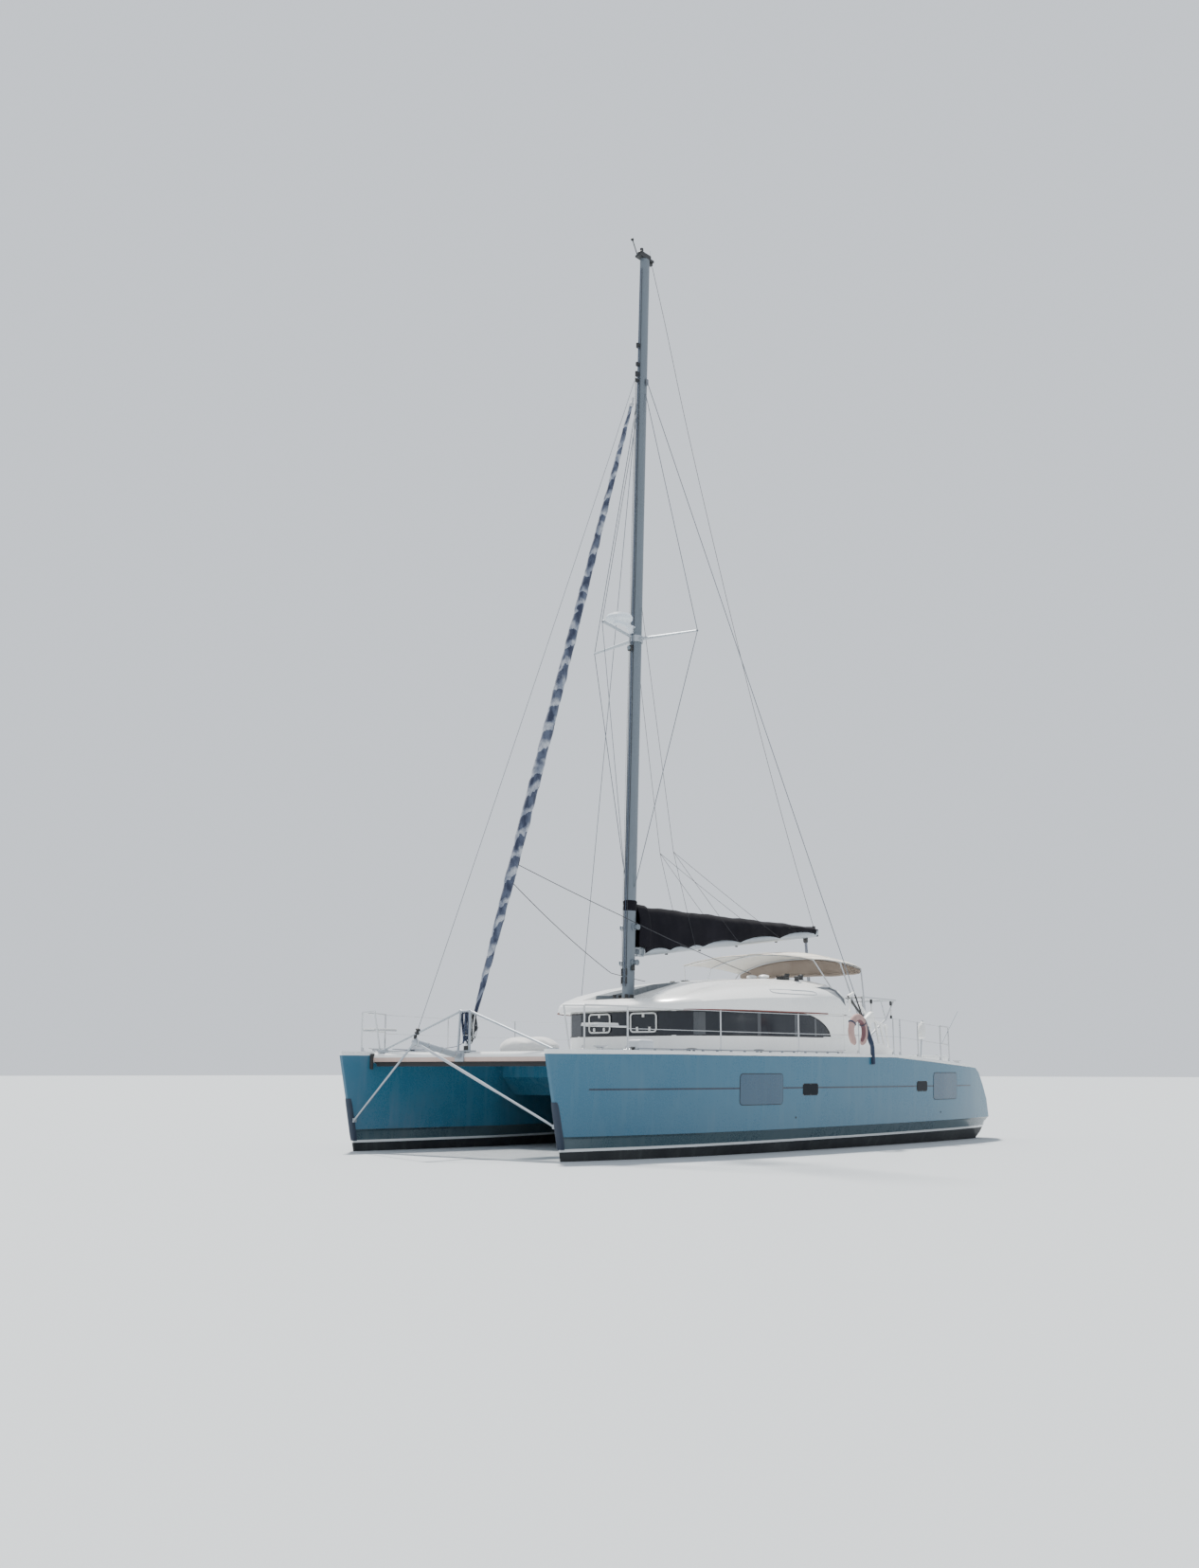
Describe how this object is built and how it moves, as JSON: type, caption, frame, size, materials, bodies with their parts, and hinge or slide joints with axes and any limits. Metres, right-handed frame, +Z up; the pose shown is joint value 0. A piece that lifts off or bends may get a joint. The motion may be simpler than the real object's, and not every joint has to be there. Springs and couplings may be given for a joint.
{
  "type": "sailing catamaran",
  "caption": "Cruising sailing catamaran with a fractional sloop rig, raked mast, domed coachroof, bimini, trampolines and low keels.",
  "frame": {"origin": "on the waterline, midships, on the centre line", "axes": "+X ahead, +Y to port, +Z up out of the water"},
  "size_m": [12.027, 6.5626, 17.6003],
  "materials": {
    "gelcoat": "white gelcoat, faintly dulled",
    "deck": "moulded non-slip",
    "antifoul": "matt black bottom paint",
    "alloy": "anodised",
    "steel": "polished stainless",
    "wire": "stainless wire",
    "smoked": "dark smoked acrylic",
    "navy": "sailcloth with a faded sun strip",
    "black": "acrylic canvas",
    "cream": "acrylic canvas",
    "net": "knotted polyester net",
    "bronze": "bronze, dull",
    "engine": "enamel",
    "faded": "sun-faded vinyl",
    "radome": "satin"
  },
  "bodies": {
    "boat": {"hull_port": "gelcoat", "hull_starboard": "gelcoat", "keel_port": "antifoul", "keel_starboard": "antifoul", "engine_port": "engine", "engine_starboard": "engine", "saildrive_port": "antifoul", "saildrive_starboard": "antifoul", "trampoline_port": "net", "trampoline_starboard": "net", "window_port": "smoked", "window_starboard": "smoked", "cockpit_coaming_port": "gelcoat", "cockpit_coaming_starboard": "gelcoat", "cap_shroud_port": "wire", "cap_shroud_starboard": "wire", "diamond_stay_port": "wire", "diamond_stay_starboard": "wire", "pulpit_port": "steel", "pulpit_starboard": "steel", "pushpit_port": "steel", "pushpit_starboard": "steel", "lifelines_port": "steel", "lifelines_starboard": "steel", "bridgedeck": "deck", "crossbeam": "alloy", "gull_striker": "steel", "bowsprit": "steel", "cabin_wall": "gelcoat", "window_front": "smoked", "coachroof": "gelcoat", "aft_bulkhead": "gelcoat", "helm_console": "gelcoat", "helm_seat": "gelcoat", "cockpit_seats": "gelcoat", "bimini_frame": "steel", "bimini_canopy": "cream", "mast": "alloy", "masthead": "wire", "spreaders": "alloy", "radar_dome": "radome", "furled_genoa": "navy", "furler_drum": "alloy", "jumper_stay": "wire", "davits": "steel", "horseshoe_buoy": "faded", "sail_bag": "cream"},
    "rudder_port": {"rudder_port": "antifoul"},
    "rudder_starboard": {"rudder_starboard": "antifoul"},
    "prop_port": {"prop_port": "bronze"},
    "prop_starboard": {"prop_starboard": "bronze"},
    "helm_wheel": {"helm_wheel": "steel"},
    "boom": {"boom": "alloy", "sail_cover": "black"},
    "saloon_door": {"saloon_door": "alloy"},
    "window_hatch_port": {"window_hatch_port": "gelcoat"},
    "window_hatch_starboard": {"window_hatch_starboard": "gelcoat"},
    "engine_lid_port": {"engine_lid_port": "deck"},
    "engine_lid_starboard": {"engine_lid_starboard": "deck"}
  },
  "joints": [
    {"name": "prop_port_spin", "type": "hinge", "parent": "boat", "child": "prop_port", "pos_m": [-3.94, 2.325, -0.79], "axis": [1, 0, 0], "continuous": true},
    {"name": "prop_starboard_spin", "type": "hinge", "parent": "boat", "child": "prop_starboard", "pos_m": [-3.94, -2.325, -0.79], "axis": [1, 0, 0], "continuous": true},
    {"name": "rudder_port_turn", "type": "hinge", "parent": "boat", "child": "rudder_port", "pos_m": [-4.96, 2.3, 0], "axis": [0, 0, 1], "range_deg": [-35, 35]},
    {"name": "rudder_starboard_turn", "type": "hinge", "parent": "boat", "child": "rudder_starboard", "pos_m": [-4.96, -2.3, 0], "axis": [0, 0, 1], "range_deg": [-35, 35]},
    {"name": "helm_wheel_turn", "type": "hinge", "parent": "boat", "child": "helm_wheel", "pos_m": [-2.43, 1.08, 1.98], "axis": [1, 0, 0], "range_deg": [-540, 540]},
    {"name": "boom_swing", "type": "hinge", "parent": "boat", "child": "boom", "pos_m": [1.14, 0, 3.215], "axis": [-0.04, 0, 0.9992], "range_deg": [-45, 45]},
    {"name": "saloon_door_slide", "type": "slide", "parent": "boat", "child": "saloon_door", "axis": [0, -1, 0], "range_m": [0, 0.78]},
    {"name": "window_hatch_port_lift", "type": "hinge", "parent": "boat", "child": "window_hatch_port", "pos_m": [1.5563, 0.475, 2.172], "axis": [0.1047, -0.9945, 0], "range_deg": [0, 60]},
    {"name": "window_hatch_starboard_lift", "type": "hinge", "parent": "boat", "child": "window_hatch_starboard", "pos_m": [1.5563, -0.475, 2.172], "axis": [-0.1047, -0.9945, 0], "range_deg": [0, 60]},
    {"name": "engine_lid_port_lift", "type": "hinge", "parent": "boat", "child": "engine_lid_port", "pos_m": [-3.82, 2.3, 1.47], "axis": [0, 1, 0], "range_deg": [0, 85]},
    {"name": "engine_lid_starboard_lift", "type": "hinge", "parent": "boat", "child": "engine_lid_starboard", "pos_m": [-3.82, -2.3, 1.47], "axis": [0, 1, 0], "range_deg": [0, 85]}
  ],
  "couplings": [
    {"joint": "rudder_starboard_turn", "follows": "rudder_port_turn", "ratio": 1},
    {"joint": "helm_wheel_turn", "follows": "rudder_port_turn", "ratio": 15.42}
  ]
}
